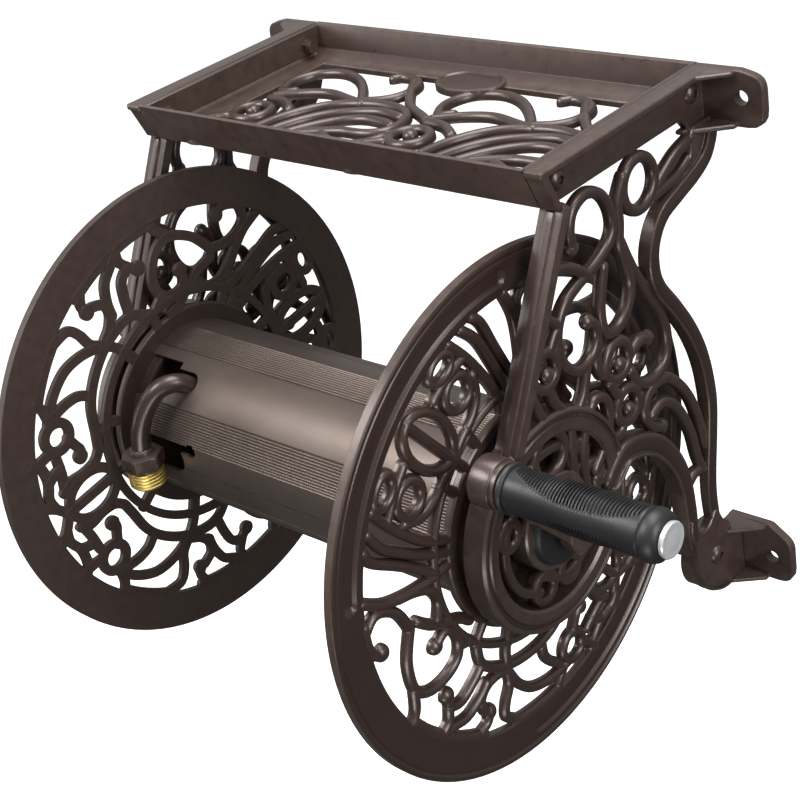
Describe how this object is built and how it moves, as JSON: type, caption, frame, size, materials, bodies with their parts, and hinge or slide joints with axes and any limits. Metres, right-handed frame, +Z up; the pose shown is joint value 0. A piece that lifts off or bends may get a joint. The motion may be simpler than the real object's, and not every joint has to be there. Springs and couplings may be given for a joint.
{
  "type": "wall-mount garden hose reel",
  "caption": "Wall-mount garden hose reel with cast scrollwork side frames, a scrollwork tray on top, a ribbed drum between scrollwork flanges and a crank with a spinning grip.",
  "frame": {"origin": "centre of the four wall bolt holes, on the wall plane", "axes": "+X along the axle towards the crank, +Y out of the back into the wall, +Z up"},
  "size_m": [0.5465, 0.382, 0.397],
  "materials": {
    "bronze_paint": "satin",
    "drum_paint": "satin",
    "black_plastic": "matte",
    "brass": "satin",
    "steel": "satin",
    "rubber": "matte"
  },
  "bodies": {
    "frame": {"side_frame_left": "bronze_paint", "side_frame_right": "bronze_paint", "tray": "bronze_paint", "tray_screws": "bronze_paint", "tray_nuts": "bronze_paint", "cross_bar": "bronze_paint", "cross_bar_screws": "bronze_paint", "bearing_left": "black_plastic", "bearing_right": "black_plastic", "swivel_body": "brass", "swivel_seals": "rubber"},
    "reel": {"flange_left": "bronze_paint", "flange_right": "bronze_paint", "drum_shell_front": "drum_paint", "drum_shell_rear": "drum_paint", "drum_shell_top": "drum_paint", "tie_rods": "steel", "tie_nuts": "bronze_paint", "thrust_washers": "steel", "inlet_spindle": "brass", "crank_shaft": "steel", "crank_arm": "bronze_paint", "crank_screw": "bronze_paint", "gooseneck": "bronze_paint", "outlet_nut": "bronze_paint", "outlet_thread": "brass", "grip_bolt": "steel"},
    "grip": {"grip_core": "black_plastic", "grip": "rubber", "grip_cap": "steel"},
    "coupling": {"coupling_nut": "brass", "coupling_washer": "rubber"}
  },
  "joints": [
    {"name": "reel_spin", "type": "hinge", "parent": "frame", "child": "reel", "pos_m": [0, -0.207, -0.029], "axis": [1, 0, 0], "continuous": true},
    {"name": "grip_spin", "type": "hinge", "parent": "reel", "child": "grip", "pos_m": [0.26, -0.27725, 0.04633], "axis": [1, 0, 0], "continuous": true},
    {"name": "coupling_spin", "type": "hinge", "parent": "frame", "child": "coupling", "pos_m": [-0.212, -0.207, -0.07], "axis": [0, 0, 1], "continuous": true}
  ]
}
